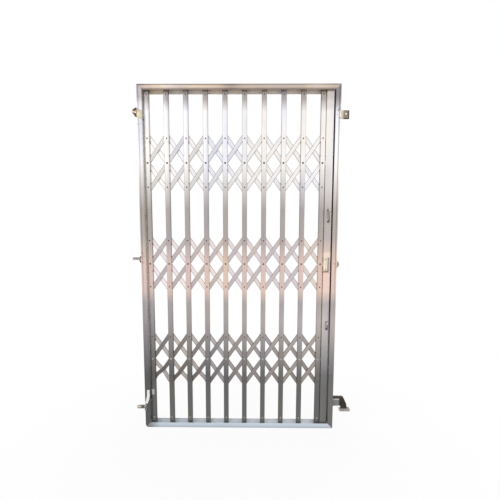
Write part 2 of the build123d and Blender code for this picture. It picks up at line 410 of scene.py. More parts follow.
class Finish:
    """One material while its nodes are laid."""

    def __init__(self, name, owner=None):
        if owner is None:
            owner = bpy.data.materials.new(name)
        owner.use_nodes = True
        self.owner = owner
        self.tree = owner.node_tree
        self.tree.nodes.clear()

    def node(self, kind, settings=None, values=None, output=0):
        node = self.tree.nodes.new(kind)
        for name, value in (settings or {}).items():
            if name == "stops":
                self.set_stops(node.color_ramp, value)
            else:
                setattr(node, name, value)
        for key, value in (values or {}).items():
            if isinstance(value, Knob):
                self.tree.links.new(value.socket, node.inputs[key])
            else:
                node.inputs[key].default_value = value
        return Knob(self, node.outputs[output]) if len(node.outputs) else None

    def set_stops(self, ramp, stops):
        while len(ramp.elements) < len(stops):
            ramp.elements.new(0.5)
        for element, (place, _) in zip(ramp.elements, stops):
            element.position = place
        for element, (_, value) in zip(ramp.elements, stops):
            element.color = (*value, 1.0)

    def place(self):
        return self.node("ShaderNodeTexCoord", output="Object")

    def axes(self, vector):
        node = self.tree.nodes.new("ShaderNodeSeparateXYZ")
        self.tree.links.new(vector.socket, node.inputs[0])
        return [Knob(self, output) for output in node.outputs]

    def stretched(self, scale, turn=0.0):
        settings = {"vector_type": "POINT"}
        values = {"Vector": self.place(), "Rotation": (0, turn, 0)}
        turned = self.node("ShaderNodeMapping", settings, values)
        return self.node("ShaderNodeMapping", settings, {"Vector": turned, "Scale": scale})

    def noise(self, where, scale=1.0, detail=2.0, roughness=0.5):
        values = {"Vector": where, "Scale": scale, "Detail": detail, "Roughness": roughness}
        return self.node("ShaderNodeTexNoise", values=values)

    def step(self, value, start, end, low=0.0, high=1.0):
        """A smooth rise from low to high as the value goes from start to end."""
        values = {"Value": value, "From Min": start, "From Max": end, "To Min": low, "To Max": high}
        return self.node("ShaderNodeMapRange", {"interpolation_type": "SMOOTHSTEP"}, values)

    def near(self, value, centre, inner, outer, amount=1.0):
        """The amount within the inner distance of a centre, and nought past the outer one."""
        return self.step(abs(value - centre), inner, outer, amount, 0.0)

    def mark(self, x, z, spot):
        """A soft mark on the front: its middle, reach and fade along X, then along Z, and its amount."""
        return self.near(x, *spot[:3]) * self.near(z, *spot[3:])

    def ramp(self, value, stops):
        return self.node("ShaderNodeValToRGB", {"stops": stops}, {0: value})

    def blend(self, share, first, second):
        values = {0: share, 6: self.full(first), 7: self.full(second)}
        return self.node("ShaderNodeMix", {"data_type": "RGBA"}, values, output=2)

    def full(self, value):
        return value if isinstance(value, Knob) else (*value, 1.0)

    def dimmed(self, tone, factor):
        return self.node("ShaderNodeVectorMath", {"operation": "SCALE"}, {0: tone, 3: factor})

    def times(self, tone, tint):
        return self.node("ShaderNodeVectorMath", {"operation": "MULTIPLY"}, {0: tone, 1: tint})

    def surface(self, tone, roughness, metallic, height=None, depth=0.0003, strength=0.3):
        values = {"Base Color": self.full(tone), "Roughness": roughness, "Metallic": metallic}
        if height is not None:
            values["Normal"] = self.node(
                "ShaderNodeBump", values={"Height": height, "Distance": depth, "Strength": strength})
        shader = self.node("ShaderNodeBsdfPrincipled", values=values)
        self.node("ShaderNodeOutputMaterial", values={"Surface": shader})
        return self.owner


def started(name):
    """A new finish, and the three coordinates of a place on it."""
    finish = Finish(name)
    return finish, *finish.axes(finish.place())


def graded(finish, height, colours):
    """The steel's tone by height, painted reflection and shade: dark at its foot, warm below its middle,
    white near its head, greyer again in the shade of the top track.
    """
    grey, glow, pale = colours.grey, colours.glow, colours.pale
    levels = (
        (BANDS[0] - 0.10, colours.dusk), (BANDS[0] + 0.25, grey), (BANDS[1] - 0.25, grey),
        (BANDS[1] - PIN_ROWS, glow), (BANDS[1], glow), (BANDS[1] + PIN_ROWS, grey),
        (BANDS[2] - 0.28, grey), (BANDS[2], pale), (GATE_HEIGHT - 0.15, pale), (GATE_HEIGHT - 0.075, grey),
    )
    stops = [(level / GATE_HEIGHT, tone) for level, tone in levels]
    return drifting(finish, finish.ramp(height / GATE_HEIGHT, stops), colours)


def drifting(finish, tone, colours):
    """Brushed steel is never quite neutral: long stretches run a little blue or a little warm."""
    drift = finish.step(finish.noise(finish.stretched((7.0, 7.0, 1.5))), 0.36, 0.64)
    return finish.times(tone, finish.blend(drift, colours.cool, colours.warm))


def banded(finish, height, colours):
    """The flats' tone, a painted reflection by height: plain in the lower band, half warm in the middle
    one, bright in the upper one.
    """
    edges = (BANDS[0] + BAND_STEP * 0.35, BANDS[1] - BAND_STEP * 0.25,
             BANDS[1] + BAND_STEP * 0.25, BANDS[2] - BAND_STEP * 0.25)
    half_warm = finish.blend(0.5, colours.glow, colours.pale)
    upward = finish.blend(finish.step(height, edges[0], edges[1]), colours.grey, half_warm)
    tone = finish.blend(finish.step(height, edges[2], edges[3]), upward, colours.pale)
    return drifting(finish, tone, colours)


def rising_finish(colours):
    """The front layer, which catches more painted light towards the right away from the middle band, with
    painted shade in the lower band and around the middle one.
    """
    finish, x, _, z = started("rising_flats")
    tone = banded(finish, z, colours)
    away = finish.step(abs(z - BANDS[1]), 0.10, 0.35, 0.10, 0.44)
    away = away - finish.step(z, BANDS[1], BANDS[2], 0.0, 0.16)
    low = finish.step(z, BANDS[0] - PIN_ROWS, BANDS[0] + PIN_ROWS, 0.26, 0.0)
    waist = finish.near(z, BANDS[1], 0.25, 0.40, 0.24)
    shading_and_wear = 1.0 - finish.step(x, 0.36, -0.50) * away - low - waist
    return brushed(finish, tone, FLAT_GRAIN, -LEAN, shading_and_wear=shading_and_wear)


def falling_finish(colours):
    """The back layer, made brighter by painted light, which catches less of it towards the right in the
    lower half, with painted shade in the lower band.
    """
    finish, x, _, z = started("falling_flats")
    tone = banded(finish, z, colours)
    away = finish.step(z, BANDS[0], BANDS[2], 0.42, 0.0)
    low = finish.step(z, BANDS[0] - PIN_ROWS, BANDS[0] + PIN_ROWS, 0.30, 0.0)
    gain = finish.step(z, BANDS[0], BANDS[2], 1.28, 0.96)
    shading_and_wear = gain - finish.step(x, -0.50, 0.36) * away - low
    return brushed(finish, tone, FLAT_GRAIN, LEAN, shading_and_wear=shading_and_wear)


def rim_finish(colours):
    """The flats' sheared borders, half as bright as their faces: painted shade along their edges."""
    finish, _, _, z = started("flat_rims")
    tone = banded(finish, z, colours)
    shading_and_wear = finish.step(z, BANDS[1], BANDS[2], 0.44, 0.38)
    return brushed(finish, tone, FLAT_GRAIN, mottle=0.05, grain=0.03, shading_and_wear=shading_and_wear)


def brushed(finish, tone, grain_scale, turn=0.0, mottle=0.10, grain=0.07, metallic=METAL, shading_and_wear=1.0):
    """Brushed stainless with smears, duller patches and fine grain along the bar; its level is scaled by
    the painted light, shade and wear handed in.
    """
    fine = finish.noise(finish.stretched(grain_scale, turn), 1.0, 3.0, 0.6)
    smear = finish.noise(finish.stretched((1.0, 1.0, 0.45), turn), 17.0, 5.0, 0.62)
    patch = finish.noise(finish.place(), 6.0)
    level = shading_and_wear + (fine - 0.5) * (2 * grain) + (smear - 0.5) * (2 * mottle) + (patch - 0.5) * mottle
    roughness = finish.step(smear, 0.3, 0.75, 0.30, 0.52)
    return finish.surface(finish.dimmed(tone, level), roughness, metallic, fine, 0.0002, 0.25)


def picket_finish(colours):
    """Folded channel with painted shade on its bends and where the flats meet its sides, painted light at
    knee height, a painted highlight at its left foot, and less metallic feet.
    """
    finish, x, _, z = started("picket_steel")
    tone = graded(finish, z, colours)
    across = (x - (FIRST_X - PITCH / 2)) % PITCH - PITCH / 2
    high = finish.step(z, 1.0, 1.8, 0.15, 1.0)
    # Painted shade along the left and right bends, most in the upper part.
    left = finish.step(across, -0.0142, -0.0104, 0.46, 0.0) * high
    left = left * finish.step(x, -0.56, -0.50, 0.6, 1.0)
    right = finish.step(across, 0.0104, 0.0142, 0.0, 0.36) * high
    # Painted shade where the flats' edges meet the picket's sides, above and below each crossing.
    level = abs((z - (BANDS[0] - BAND_STEP / 2)) % BAND_STEP - BAND_STEP / 2)
    wear_and_shade = abs(abs(level - CROSSING_SHADE_MIDDLE) - CROSSING_SHADE_SPREAD)
    wear_and_shade = finish.step(wear_and_shade, 0.0015, 0.0060, 0.50, 0.0) * finish.step(abs(across), 0.0118, 0.0145)
    # Painted light and shade at knee height, lighter to the right and darker to the left, and a painted
    # highlight at the left foot.
    knees = finish.near(z, 0.54, 0.10, 0.32, 0.36) * x
    gleam = finish.mark(x, z, FOOT_GLEAM)
    shading_and_wear = 1.0 - left - right - wear_and_shade + knees + gleam
    metallic = finish.step(z, 0.035, 0.075, 0.25, METAL)
    return brushed(finish, tone, UP_GRAIN, shading_and_wear=shading_and_wear, metallic=metallic)


def stile_finish(colours):
    """Folded tube, brighter by painted light than the pickets below its pull, with painted shadow and light
    around pull and lock plate.
    """
    finish, x, _, z = started("stile_steel")
    tone = graded(finish, z, colours)
    # Painted light and shade by height.
    knees = finish.near(z, 0.55, 0.12, 0.30, 0.26)
    chest = finish.step(z, 1.45, 1.65, 0.18, -0.05) + finish.step(z, 1.72, 1.85, 0.0, 0.05)
    crown = finish.step(z, 2.00, 2.06, 0.0, 0.50)
    # The upper pull's painted shadow and painted light beside it; painted light above the lock plate,
    # painted shade beside and under it, and painted light on the right bend in the upper part.
    pull_shadow = finish.mark(x, z, PULL_SHADOW)
    pull_light = finish.mark(x, z, PULL_LIGHT)
    above = finish.near(z, 1.127, 0.010, 0.022, 0.24)
    beside = finish.mark(x, z, PLATE_SHADE)
    under = finish.near(z, 1.0175, 0.0020, 0.0060, 0.45) * finish.step(x, 0.562, 0.556)
    turn = finish.step(x, 0.5635, 0.5675) * finish.step(z, 0.80, 0.95, 0.0, 0.30)
    shading_and_wear = 1.0 + knees + chest + crown + pull_light + above + turn - pull_shadow - beside - under
    metallic = finish.step(z, 0.03, 0.07, 0.2, METAL) * finish.step(x, 0.563, 0.568, 1.0, 0.5)
    return brushed(finish, tone, UP_GRAIN, shading_and_wear=shading_and_wear, mottle=0.12, metallic=metallic)


def jamb_finish(name, colours, side, gains, stains_and_shadows, crease_shade):
    """Channel jamb: painted shade along a rolled line near each edge, brown staining and painted shadow by
    the hold-fasts, painted light and shade inside, which is less metallic.
    """
    finish, x, y, z = started(name)
    tone = graded(finish, z, colours)
    low, high, head = gains
    # Painted light and shade by height.
    gain = finish.step(z, 0.62, 0.82, low, 0.0) + finish.step(z, 1.15, 1.45, 0.0, high)
    gain = gain + finish.step(z, 1.96, 2.03, 0.0, head)
    # Brown staining by the hold-fasts, with painted shadow under them.
    stain_and_shadow_share = 0.0
    for height, reach, fade in stains_and_shadows:
        stain_and_shadow_share = finish.near(z, height, reach, fade) + stain_and_shadow_share
    wisp = finish.step(finish.noise(finish.place(), 38.0, 4.0, 0.6), 0.45, 0.68)
    outward = x * side
    tone = finish.blend(stain_and_shadow_share * wisp * finish.step(outward, 0.578, 0.600) * 0.75, tone, colours.stain_and_shadow)
    # Inside the channel: painted light on the left jamb, painted shade on the right one from its middle up,
    # and painted shade near the foot and behind the flats; it is less metallic.
    inside = finish.step(abs(y), OUTER_SIDE, INNER_SIDE) * finish.step(outward, 0.6087, 0.6081)
    depths = colours.pocket
    if side == 1:
        depths = finish.blend(finish.step(z, 0.30, 0.95), depths, colours.gloom)
    bars = finish.step(abs(y), 0.0190, 0.0170) * finish.step(outward, 0.6070, 0.6060)
    depths = finish.dimmed(depths, finish.step(z, 0.20, 0.75, 0.5, 1.0) * (1.0 - bars * 0.55))
    tone = finish.blend(inside, finish.dimmed(tone, 1.0 + gain), depths)
    # Painted shade along the inner edge, higher up, and along the rolled line.
    lip = finish.step(outward, 0.5775, 0.5830, 1.0, 0.0) * finish.step(z, 1.5, 1.95, 0.08, 0.32)
    line = finish.near(outward, 0.6000, 0.0020, 0.0046, crease_shade) * finish.step(z, 0.60, 1.10)
    shading_and_wear = 1.0 - (lip + line) * (1.0 - inside)
    return brushed(finish, tone, UP_GRAIN, shading_and_wear=shading_and_wear, mottle=0.14, metallic=METAL - inside * 0.8)


def top_track_finish(colours):
    """Painted warm reflection on the upper half between painted shade at its edges, cloudy along its
    length, with a painted shadow and a painted highlight along it, darker at its left end, and painted
    light and shade inside, which is less metallic.
    """
    finish, x, y, z = started("top_track_steel")
    cloud = finish.noise(finish.stretched((9.0, 3.0, 3.0)))
    # Painted warm reflection above painted shade on the lower edge.
    share = finish.step(z, GATE_HEIGHT - 0.030, GATE_HEIGHT - 0.018)
    tone = finish.blend(share, colours.rail_lip, colours.rail)
    # Darker towards the left end; a painted shadow just left of the middle, a painted highlight towards the
    # right, and painted shade along the top edge.
    corner = finish.step(x, -0.60, -0.50, 0.34, 0.0)
    shadow = finish.near(x, -0.050, 0.0, 0.085, 0.26)
    gleam = finish.near(x, 0.470, 0.0, 0.120, 0.24)
    edge = finish.step(z, GATE_HEIGHT - 0.0085, GATE_HEIGHT - 0.0050, 0.0, 0.46)
    outer = 0.90 + cloud * 0.2 - corner - shadow + gleam - edge
    # Painted light inside, with painted shadow under the front flange.
    inside = finish.step(y, -OUTER_SIDE, -INNER_SIDE)
    inside = inside * finish.step(z, GATE_HEIGHT - 0.0010, GATE_HEIGHT - 0.0016)
    depths = finish.dimmed(colours.rail_inside, finish.step(z, 2.120, 2.125, 1.08, 0.82))
    tone = finish.blend(inside, finish.dimmed(tone, outer), depths)
    tone = drifting(finish, tone, colours)
    return brushed(finish, tone, SIDE_GRAIN, mottle=0.08, metallic=METAL - inside * 0.8)


def bottom_track_finish(colours):
    """Cool, pale channel, a painted cool reflection: worn lines where the rollers run, darker at its left
    end, painted shade low on its face and along its back edge, and painted light inside, which is less
    metallic.
    """
    finish, x, y, z = started("bottom_track_steel")
    end = finish.step(x, -0.50, -0.60)
    tone = finish.blend(end, colours.sill, colours.sill_end)
    # Painted shade low on the face and painted light near its top.
    tone = finish.dimmed(tone, finish.step(z, 0.002, 0.024, 0.86, 1.10))
    # Painted light inside, growing towards the right.
    inside = finish.step(y, -OUTER_SIDE, -INNER_SIDE) * finish.step(z, 0.0010, 0.0016)
    light = finish.step(x, -0.58, 0.30, 0.95, 1.08)
    tone = finish.blend(inside, tone, finish.dimmed(colours.sill_inside, light))
    line = finish.step(abs(abs(y) - 0.0035), 0.0006, 0.0018, 0.30, 0.0)
    # Painted shade along the back flange's top edge.
    rim = finish.step(z, 0.0275, 0.0300, 0.0, 0.30) * finish.step(y, 0.0, 0.02)
    grime = finish.noise(finish.stretched((5.0, 40.0, 1.0)), 1.0, 4.0, 0.6)
    grime = finish.step(grime, 0.5, 0.8, 0.0, 0.3)
    floor = finish.step(z, 0.0030, 0.0022) * inside
    shading_and_wear = 1.0 - (line + grime) * floor - rim
    return brushed(finish, tone, SIDE_GRAIN, shading_and_wear=shading_and_wear, mottle=0.07, metallic=METAL - inside * 0.9)


def rivet_finish(colours):
    """Rivet steel, dark above the waist, with painted highlights below it and a little painted light at the
    waist.
    """
    finish, _, _, z = started("rivet_steel")
    wear = finish.step(finish.noise(finish.place(), 260.0, 3.0, 0.6), 0.35, 0.7)
    # Painted highlights around the lower band and near the foot, and painted light at the middle band.
    bright = finish.near(z, BANDS[0], 0.05, 0.09) + finish.step(z, 0.14, 0.30, 1.0, 0.0)
    tone = finish.blend(bright, colours.rivet, colours.painted_highlight)
    waist = finish.near(z, BANDS[1], 0.05, 0.12, 0.25)
    tone = finish.dimmed(tone, finish.step(wear, 0.0, 1.0, 0.6, 1.0) + waist)
    return finish.surface(tone, finish.step(wear, 0.0, 1.0, 0.42, 0.28), 0.85, wear, 0.0002, 0.3)


def pull_finish(colours):
    """Painted light on the crests, painted shade on the undersides and roots; the lower pull has painted
    shade downwards.
    """
    finish, _, y, z = started("pull_steel")
    normal = finish.axes(finish.node("ShaderNodeTexCoord", output="Normal"))
    # Painted light on faces turned up and away from the stile, and painted shade downwards on the lower
    # pull.
    crest = finish.step(normal[2], -0.2, 0.6) * finish.step(y, -0.020, -0.032, 0.35, 1.0)
    crest = crest * finish.step(z, 0.660, 0.698, 0.1, 1.0)
    tone = finish.blend(crest, colours.root, colours.crest)
    smear = finish.noise(finish.place(), 130.0, 3.0, 0.6)
    return finish.surface(finish.dimmed(tone, 0.85 + smear * 0.3), 0.32, 0.8, smear, 0.0002, 0.2)


def hold_fast_finish(name, main, patches, stain_and_shadow):
    """Black-bar steel: patches of other tones run into the main one, some of them painted highlights and
    painted shade, under brown staining.
    """
    finish = Finish(name)
    axes = finish.axes(finish.place())
    tone = main
    for patch, *limits in patches:
        share = 1.0
        for axis, start, end in limits:
            share = finish.step(axes[axis], start, end) * share
        tone = finish.blend(share, tone, patch)
    pit = finish.noise(finish.place(), 170.0, 5.0, 0.65)
    cloud = finish.step(finish.noise(finish.place(), 48.0, 4.0, 0.6), 0.42, 0.70)
    tone = finish.blend(cloud * 0.25, tone, stain_and_shadow)
    tone = finish.dimmed(tone, 0.80 + pit * 0.4)
    return finish.surface(tone, finish.step(cloud, 0.0, 1.0, 0.38, 0.62), 0.7, pit, 0.0004, 0.45)


def weld_finish():
    """Heat-stained bead: straw and blue over dull grey."""
    finish = Finish("weld_bead")
    heat = finish.noise(finish.place(), 90.0, 3.0, 0.6)
    ripple = finish.noise(finish.place(), 420.0)
    tone = finish.ramp(heat, [(share, shade(*tint)) for share, tint in HEAT_TINTS])
    return finish.surface(tone, 0.45, 0.85, ripple, 0.0003, 0.4)


def lock_finish(colours):
    """Pale yellowish plate with painted shade on its right and lower rims, worn around the keyhole."""
    low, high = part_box("lock_case")
    finish, x, _, z = started("lock_brass")
    wear_and_shade = finish.step(finish.noise(finish.stretched((60.0, 60.0, 22.0)), 1.0, 4.0, 0.6), 0.4, 0.72)
    tone = finish.blend(wear_and_shade, colours.brass, colours.cream)
    # Painted shade on the right and lower rims.
    right = finish.step(x, high.x - 0.0060, high.x - 0.0036, 0.0, 0.66)
    foot = finish.step(z, low.z + 0.0036, low.z + 0.0070, 0.74, 0.0)
    tone = finish.dimmed(tone, (1.0 - right) * (1.0 - foot))
    return finish.surface(tone, finish.step(wear_and_shade, 0.0, 1.0, 0.30, 0.46), 0.55, wear_and_shade, 0.0002, 0.2)


# Pieces

HEAD_DEPTH = 0.0024
# Width and rise of the roller's tread, dish, floor and hub.
ROLLER_STEPS = ((0.0016, 0.0), (0.0006, -0.0007), (0.0030, 0.0), (0.0005, 0.0009))
BOLT_HEIGHTS = (0.061, 2.084)
SPACER_FACES, SPACER_SHEET, SPACER_HALF = (-0.010, 0.006), 0.004, 0.015
SPACER_ARRIS, STILE_BEND = 0.0006, 0.0030
FLAT_END, FLAT_NIP = 0.008, 0.0070
PLATE_CORNER, PLATE_RIM, PLATE_SLOPE, PLATE_DROP = 0.0030, 0.0026, 0.0002, 0.0012
KEY_BORE, KEY_HALF, KEY_DROP = 0.0035, 0.0018, 0.014
SCREW_RADIUS, SCREW_INSET = 0.0036, 0.012
COLLAR_RADIUS, COLLAR_GAP = 0.0056, 0.0004
STUB_LENGTH = 0.0040
SHOE_HALF, SHOE_DEPTH, SHOE_ARRIS = 0.0115, 0.005, 0.0010
CORNER_BEND = 0.020
PULL_ROOT, ROSE_DEPTH = 0.008, 0.003
BEAD, BEAD_SINK = 0.0048, 0.0008
# Each weld run's top, bottom and distance from the middle plane.
LEFT_RUNS = ((1.995, 1.953, 0.0035), (1.119, 1.073, 0.0035), (0.136, 0.114, 0.0155))
RIGHT_RUNS = ((1.993, 1.947, 0.0035), (1.089, 1.047, 0.0035), (0.202, 0.147, 0.0155))
FACE_SLOT, RIM_SLOT = 0, 1
# Picket, band and side of each bent flat: where it is bent, how far around, and by how much.
BENT_FLATS = {
    (2, 0, 1): (-0.150, 0.075, -0.017),
    (1, 0, -1): (-0.110, 0.080, 0.006),
    (3, 0, 1): (-0.170, 0.055, -0.007),
    (4, 0, 1): (-0.170, 0.055, -0.005),
    (2, 0, -1): (-0.170, 0.055, 0.006),
    (3, 0, -1): (-0.170, 0.055, 0.005),
}


def make_picket_channels(sizes, colours):
    """Two folded channels back to back, modelled once and set at each picket's place."""
    low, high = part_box("picket_01")
    front = block("picket_front", low, (high.x, low.y + sizes.picket_leg, high.z))
    remove_faces(front, lambda centre, normal: normal.y > 0.5 or abs(normal.z) > 0.5)
    face = low.y + TOUCH
    soften(front, sizes.picket_bend, 3, lambda a, b: a.y < face and b.y < face and abs(a.z - b.z) > 1)
    thicken(front, sizes.picket_gauge)
    about_middle = Matrix.Translation((FIRST_X, 0, 0)) @ Matrix.Rotation(math.pi, 4, "Z")
    back = copy_of(front, "picket_back")
    back.data.transform(about_middle @ Matrix.Translation((-FIRST_X, 0, 0)))
    pair = joined("picket_pair", [front, back])
    finish = picket_finish(colours)
    for number in range(1, PICKETS + 1):
        node = f"picket_{number:02d}"
        piece = copy_of(pair, f"picket_channels_{number:02d}", (PITCH * (number - 1), 0, 0))
        fit_piece(piece, finish, body_of(node), "picket_steel", node)
    discard(pair)


def domed_head(radius, outer, side):
    """A rivet head that stands out of the channel's web on one side."""
    near, far = sorted((side * outer, side * (outer + HEAD_DEPTH)))
    head = rod_along_y("head", radius, near, far, sides=20)
    rim = (outer + HEAD_DEPTH) * 0.9999
    soften(head, HEAD_DEPTH * 0.85, 3, lambda a, b: abs(a.y) > rim and abs(b.y) > rim)
    return head


def rivet(sizes, radius, with_collars):
    """A rivet right through a picket, with the collars that keep its flats in the middle."""
    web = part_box("picket_01")[1].y
    shank = rod_along_y("shank", sizes.rivet_shank, -web, web, sides=16)
    parts = [shank, domed_head(radius, web, -1), domed_head(radius, web, 1)]
    if with_collars:
        parts += collars(sizes, web - sizes.picket_gauge)
    return joined("rivet", parts)


def collars(sizes, reach):
    flats = sizes.flat_plane + sizes.flat_thickness / 2 + COLLAR_GAP
    rings = []
    for near, far in ((-reach, -flats), (flats, reach)):
        ring = rod_along_y("collar", COLLAR_RADIUS, near, far, sides=16)
        break_edges(ring, sizes.arris)
        rings.append(ring)
    return rings


def hidden_pin(sizes):
    """The pin that joins two flats' ends inside a picket."""
    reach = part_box("picket_01")[1].y - sizes.picket_gauge - 0.0002
    shank = rod_along_y("shank", sizes.rivet_shank, -reach, reach, sides=16)
    return joined("pin", [shank, *collars(sizes, reach)])


def stub_rivet(sizes):
    """Short rivets through each web, clear of the flats between them."""
    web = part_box("picket_01")[1].y
    parts = []
    for side in (-1, 1):
        near, far = sorted((side * (web - STUB_LENGTH), side * web))
        parts.append(rod_along_y("stub", sizes.rivet_shank, near, far, sides=16))
        parts.append(domed_head(sizes.rivet_head, web, side))
    return joined("stub_rivet", parts)


def roller(sizes, z):
    """A steel roller with a rounded tread, dished sides and a hub, each step an inset of its sides."""
    half = sizes.roller_half
    face = half - 0.0001
    wheel = rod_along_y("roller", sizes.roller_radius, -half, half, z=z, sides=36)
    soften(wheel, 0.0009, 2, lambda a, b: abs(a.y) > face and abs(b.y) > face and a.y * b.y > 0)
    select(wheel, "FACE", lambda centre, normal: abs(normal.y) > 0.9 and abs(centre.y) > face)
    for width, rise in ROLLER_STEPS:
        bpy.ops.mesh.inset(thickness=width, depth=rise, use_individual=True)
    leave_edit()
    return wheel


def make_fittings(sizes, colours):
    """Rivets with domed heads, pins, roller and guide shoe of each picket."""
    large = rivet(sizes, sizes.middle_head, True)
    plain = rivet(sizes, sizes.rivet_head, False)
    stub = stub_rivet(sizes)
    pin = hidden_pin(sizes)
    low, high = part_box("fittings_01")
    axle = low.z + sizes.roller_radius
    parts = [roller(sizes, axle), copy_of(plain, "axle", (0, 0, axle))]
    parts += [copy_of(plain, "bolt", (0, 0, z)) for z in BOLT_HEIGHTS]
    for centre in BANDS:
        parts.append(copy_of(large, "middle", (0, 0, centre)))
        for side in (-1, 1):
            parts.append(copy_of(stub, "outer", (0, 0, centre + side * STUB_ROWS)))
            parts.append(copy_of(pin, "pin", (0, 0, centre + side * PIN_ROWS)))
    shoe = block("shoe", (-SHOE_HALF, low.y, high.z - SHOE_DEPTH), (SHOE_HALF, high.y, high.z))
    break_edges(shoe, SHOE_ARRIS)
    parts.append(shoe)
    whole = joined("picket_set", parts)
    discard(large, plain, stub, pin)
    finish = rivet_finish(colours)
    for number in range(1, PICKETS + 1):
        node = f"fittings_{number:02d}"
        piece = copy_of(whole, f"picket_fittings_{number:02d}", (picket_middle(number), 0, 0))
        if number == PICKETS:
            piece = joined(piece.name, [piece, stile_shoe(sizes)])
        fit_piece(piece, finish, body_of(node), "rivet_steel", node)
    discard(whole)


def stile_shoe(sizes):
    low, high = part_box("fittings_10")
    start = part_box("lock_stile")[1].x - sizes.stile_width + SHOE_HALF
    shoe = block("stile_shoe", (start, low.y, high.z - SHOE_DEPTH), (high.x, high.y, high.z))
    break_edges(shoe, SHOE_ARRIS)
    return shoe


def flat_bar(sizes, start, end):
    """A lattice flat, its ends nipped round, with a darker border of painted shade along its sheared edges.
    """
    half, thin = sizes.flat_width / 2, sizes.flat_thickness / 2
    bar = block("flat", (-half, -thin, start - FLAT_END), (half, thin, end + FLAT_END))
    soften(bar, FLAT_NIP, 4, lambda a, b: abs(a.y - b.y) > thin)
    for _ in (FACE_SLOT, RIM_SLOT):
        activate(bar)
        bpy.ops.object.material_slot_add()
    select(bar, "FACE", lambda centre, normal: abs(normal.y) > 0.9)
    bpy.ops.mesh.inset(thickness=sizes.flat_rim, use_individual=True)
    bpy.ops.mesh.select_all(action="INVERT")
    bar.active_material_index = RIM_SLOT
    bpy.ops.object.material_slot_assign()
    leave_edit()
    break_edges(bar, sizes.arris)
    select(bar, "EDGE", lambda a, b: abs(a.z - b.z) > 0.1)
    bpy.ops.mesh.subdivide(number_cuts=23)
    leave_edit()
    return bar


def dent(bar, place, reach, amount):
    """Pushes a flat sideways in its own plane around one place along its length."""
    for vertex in bar.data.vertices:
        share = max(0.0, 1 - abs(vertex.co.z - place) / reach)
        vertex.co.x += amount * share * share * (3 - 2 * share)


def make_lattice(sizes, colours):
    """Three bands of crossing flats on each picket: the rising layer in front, the falling one behind."""
    rising, falling, rim = rising_finish(colours), falling_finish(colours), rim_finish(colours)
    spans = {
        span: flat_bar(sizes, span[0] * HALF_FLAT, span[1] * HALF_FLAT)
        for span in ((-1, 1), (0, 1), (-1, 0))
    }
    for number in range(1, PICKETS + 1):
        bars = []
        for band, centre in enumerate(BANDS):
            for side in (1, -1):
                span = (-1, 1)
                if number in (1, PICKETS):
                    span = (0, 1) if (number == 1) == (side == 1) else (-1, 0)
                bar = copy_of(spans[span], f"bar_{number}_{band}_{side}")
                if (number, band, side) in BENT_FLATS:
                    dent(bar, *BENT_FLATS[number, band, side])
                place = Matrix.Translation((picket_middle(number), -side * sizes.flat_plane, centre))
                bar.data.transform(place @ Matrix.Rotation(side * LEAN, 4, "Y"))
                bar.data.materials[FACE_SLOT] = rising if side == 1 else falling
                bar.data.materials[RIM_SLOT] = rim
                bars.append(bar)
        piece = joined(f"lattice_flats_{number:02d}", bars)
        node = f"lattice_{number:02d}"
        fit_piece(piece, None, body_of(node), "lattice_steel", node)
        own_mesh(piece)
    discard(*spans.values())


def on_outline(point):
    """Whether a point lies on the frame's outer face, its bent lower left corner included."""
    low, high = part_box("left_jamb")[0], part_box("right_jamb")[1]
    centre = low.x + CORNER_BEND
    if point.x < centre and point.z < CORNER_BEND:
        away = math.hypot(point.x - centre, point.z - CORNER_BEND)
        return abs(away - CORNER_BEND) < 0.0005
    reach = min(point.x - low.x, high.x - point.x, point.z, GATE_HEIGHT - point.z)
    return reach < TOUCH


def make_frame(sizes, colours):
    """The four channels of the frame, with rolled bends, broken lips and mitred ends."""
    finishes = {
        "top_track": top_track_finish(colours),
        "bottom_track": bottom_track_finish(colours),
        "left_jamb": jamb_finish("left_jamb_steel", colours, -1, LEFT_GAINS, LEFT_STAINS_AND_SHADOWS, LEFT_CREASE_SHADE),
        "right_jamb": jamb_finish("right_jamb_steel", colours, 1, RIGHT_GAINS, RIGHT_STAINS_AND_SHADOWS, RIGHT_CREASE_SHADE),
    }
    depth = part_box("top_track")[1].y - TOUCH
    for node, finish in finishes.items():
        piece = copy_of_node(node, f"{node}_channel")
        soften(piece, sizes.frame_bend, 3, lambda a, b: (
            abs(a.y) > depth and abs(b.y) > depth and a.y * b.y > 0 and on_outline(a) and on_outline(b)))
        break_edges(piece, sizes.arris)
        fit_piece(piece, finish, "frame", "frame_steel", node)


def make_lock_stile(sizes, colours):
    """A folded tube with its bends rolled, and the spacers that hold it off the last picket."""
    low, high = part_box("lock_stile")
    tube_left = high.x - sizes.stile_width
    tube = block("stile_tube", (tube_left, low.y, low.z), high)
    remove_faces(tube, lambda centre, normal: abs(normal.z) > 0.5)
    soften(tube, STILE_BEND, 4, lambda a, b: abs(a.z - b.z) > 1)
    thicken(tube, sizes.picket_gauge)
    parts = [tube]
    for centre in BANDS:
        for near in SPACER_FACES:
            far, top = near + SPACER_SHEET, centre + SPACER_HALF
            bar = block("spacer", (low.x, near, centre - SPACER_HALF), (tube_left + 0.0005, far, top))
            break_edges(bar, SPACER_ARRIS)
            parts.append(bar)
    piece = joined("lock_stile_tube", parts)
    fit_piece(piece, stile_finish(colours), "lock_stile_leaf", "picket_steel", "lock_stile")


